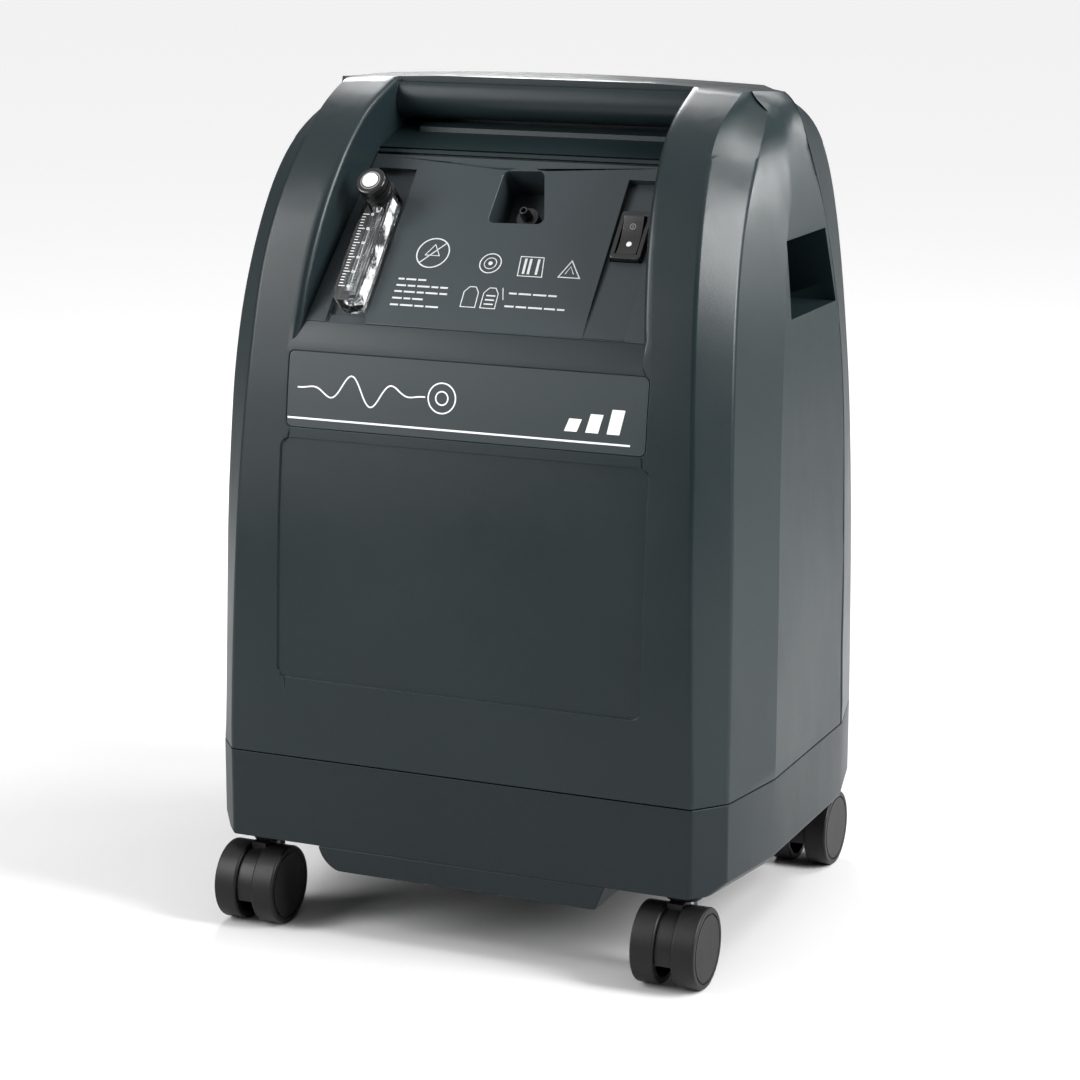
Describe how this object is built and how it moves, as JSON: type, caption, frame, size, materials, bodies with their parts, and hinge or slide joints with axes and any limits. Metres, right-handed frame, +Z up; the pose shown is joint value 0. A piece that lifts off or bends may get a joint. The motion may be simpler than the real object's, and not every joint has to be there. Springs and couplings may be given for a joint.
{
  "type": "oxygen concentrator",
  "caption": "Upright home oxygen concentrator on casters: faceted dark cabinet, sloping control panel with flowmeter, outlet and rocker switch, side hand grips.",
  "frame": {"origin": "floor level under the middle of the whole object as it stands, wheels on z = 0", "axes": "+Z up, the front with the control panel faces -Y, +X to the right of a person looking at the front"},
  "size_m": [0.3582, 0.3104, 0.528],
  "materials": {
    "cabinet_plastic": "fine satin grain",
    "base_plastic": "fine satin grain",
    "panel_plastic": "satin",
    "nameplate_film": "satin film",
    "caster_black": "moulded nylon",
    "tyre_black": "hard rubber tread",
    "steel": "zinc plated",
    "clear_acrylic": "clear acrylic",
    "knob_black": "black",
    "cap_white": "white",
    "switch_black": "black",
    "outlet_dark": "dark fitting",
    "cord_black": "flexible jacket",
    "foam_grey": "open cell foam",
    "aluminium": "cast",
    "brass": "machined",
    "board_green": "solder mask",
    "white_plastic": "moulded",
    "clear_hose": "silicone hose"
  },
  "bodies": {
    "cabinet": {"base_tub": "base_plastic", "belly_pan": "base_plastic", "bulkhead": "aluminium", "cabinet_screws": "steel", "circuit_board": "board_green", "circuit_breaker": "steel", "compressor_case": "aluminium", "compressor_heads": "aluminium", "compressor_pistons": "aluminium", "control_panel": "panel_plastic", "cord_strap": "cord_black", "exhaust_silencer": "white_plastic", "fan_housing": "switch_black", "feed_hoses": "clear_hose", "flowmeter_body": "clear_acrylic", "flowmeter_valve": "knob_black", "front_cabinet": "cabinet_plastic", "heat_exchanger": "aluminium", "hour_meter": "switch_black", "intake_filter_can": "white_plastic", "nameplate": "nameplate_film", "outlet_filter": "white_plastic", "oxygen_outlet": "outlet_dark", "power_cord": "cord_black", "pressure_regulator": "brass", "product_tank": "aluminium", "product_tube": "clear_hose", "rear_cabinet": "cabinet_plastic", "run_capacitor": "white_plastic", "sieve_beds": "aluminium", "sound_foam": "foam_grey", "switch_bezel": "switch_black", "valve_manifold": "aluminium", "vibration_mounts": "cord_black"},
    "caster_front_left": {"caster_hood_front_left": "caster_black", "caster_pins_front_left": "steel"},
    "wheel_front_left_a": {"wheel_front_left_a": "tyre_black"},
    "wheel_front_left_b": {"wheel_front_left_b": "tyre_black"},
    "caster_front_right": {"caster_hood_front_right": "caster_black", "caster_pins_front_right": "steel"},
    "wheel_front_right_a": {"wheel_front_right_a": "tyre_black"},
    "wheel_front_right_b": {"wheel_front_right_b": "tyre_black"},
    "caster_rear_left": {"caster_hood_rear_left": "caster_black", "caster_pins_rear_left": "steel"},
    "wheel_rear_left_a": {"wheel_rear_left_a": "tyre_black"},
    "wheel_rear_left_b": {"wheel_rear_left_b": "tyre_black"},
    "caster_rear_right": {"caster_hood_rear_right": "caster_black", "caster_pins_rear_right": "steel"},
    "wheel_rear_right_a": {"wheel_rear_right_a": "tyre_black"},
    "wheel_rear_right_b": {"wheel_rear_right_b": "tyre_black"},
    "flow_knob": {"flowmeter_knob": "knob_black", "knob_cap": "cap_white", "flowmeter_needle": "brass"},
    "flow_float": {"flowmeter_float": "steel"},
    "power_rocker": {"switch_rocker": "switch_black"},
    "reset_button": {"breaker_button": "white_plastic"},
    "intake_door": {"intake_grille": "cabinet_plastic", "foam_filter": "foam_grey"},
    "cooling_fan": {"fan_rotor": "switch_black"},
    "compressor_shaft": {"compressor_rotor": "steel"}
  },
  "joints": [
    {"name": "caster_swivel_front_left", "type": "hinge", "parent": "cabinet", "child": "caster_front_left", "pos_m": [-0.141, -0.11575, 0.058], "axis": [0, 0, 1], "continuous": true},
    {"name": "wheel_spin_front_left_a", "type": "hinge", "parent": "caster_front_left", "child": "wheel_front_left_a", "pos_m": [-0.141, -0.13025, 0.025], "axis": [1, 0, 0], "continuous": true},
    {"name": "wheel_spin_front_left_b", "type": "hinge", "parent": "caster_front_left", "child": "wheel_front_left_b", "pos_m": [-0.141, -0.13025, 0.025], "axis": [1, 0, 0], "continuous": true},
    {"name": "caster_swivel_front_right", "type": "hinge", "parent": "cabinet", "child": "caster_front_right", "pos_m": [0.141, -0.11575, 0.058], "axis": [0, 0, 1], "continuous": true},
    {"name": "wheel_spin_front_right_a", "type": "hinge", "parent": "caster_front_right", "child": "wheel_front_right_a", "pos_m": [0.141, -0.13025, 0.025], "axis": [1, 0, 0], "continuous": true},
    {"name": "wheel_spin_front_right_b", "type": "hinge", "parent": "caster_front_right", "child": "wheel_front_right_b", "pos_m": [0.141, -0.13025, 0.025], "axis": [1, 0, 0], "continuous": true},
    {"name": "caster_swivel_rear_left", "type": "hinge", "parent": "cabinet", "child": "caster_rear_left", "pos_m": [-0.141, 0.13375, 0.058], "axis": [0, 0, 1], "continuous": true},
    {"name": "wheel_spin_rear_left_a", "type": "hinge", "parent": "caster_rear_left", "child": "wheel_rear_left_a", "pos_m": [-0.141, 0.11925, 0.025], "axis": [1, 0, 0], "continuous": true},
    {"name": "wheel_spin_rear_left_b", "type": "hinge", "parent": "caster_rear_left", "child": "wheel_rear_left_b", "pos_m": [-0.141, 0.11925, 0.025], "axis": [1, 0, 0], "continuous": true},
    {"name": "caster_swivel_rear_right", "type": "hinge", "parent": "cabinet", "child": "caster_rear_right", "pos_m": [0.141, 0.13375, 0.058], "axis": [0, 0, 1], "continuous": true},
    {"name": "wheel_spin_rear_right_a", "type": "hinge", "parent": "caster_rear_right", "child": "wheel_rear_right_a", "pos_m": [0.141, 0.11925, 0.025], "axis": [1, 0, 0], "continuous": true},
    {"name": "wheel_spin_rear_right_b", "type": "hinge", "parent": "caster_rear_right", "child": "wheel_rear_right_b", "pos_m": [0.141, 0.11925, 0.025], "axis": [1, 0, 0], "continuous": true},
    {"name": "flow_knob_turn", "type": "hinge", "parent": "cabinet", "child": "flow_knob", "pos_m": [-0.0835, -0.07493, 0.46286], "axis": [0, -0.7559, 0.6547], "range_deg": [0, 720]},
    {"name": "flow_float_rise", "type": "slide", "parent": "cabinet", "child": "flow_float", "axis": [0, 0.6547, 0.7559], "range_m": [0, 0.052]},
    {"name": "power_rocker_tilt", "type": "hinge", "parent": "cabinet", "child": "power_rocker", "pos_m": [0.083, -0.06495, 0.43926], "axis": [1, 0, 0], "range_deg": [-16, 0]},
    {"name": "reset_button_press", "type": "slide", "parent": "cabinet", "child": "reset_button", "axis": [0, -1, 0], "range_m": [0, 0.003]},
    {"name": "intake_door_pull", "type": "slide", "parent": "cabinet", "child": "intake_door", "axis": [0, 1, 0], "range_m": [0, 0.03]},
    {"name": "cooling_fan_spin", "type": "hinge", "parent": "cabinet", "child": "cooling_fan", "pos_m": [0, 0.01625, 0.29], "axis": [0, 1, 0], "continuous": true},
    {"name": "compressor_spin", "type": "hinge", "parent": "cabinet", "child": "compressor_shaft", "pos_m": [0, -0.04075, 0.13], "axis": [1, 0, 0], "continuous": true}
  ]
}
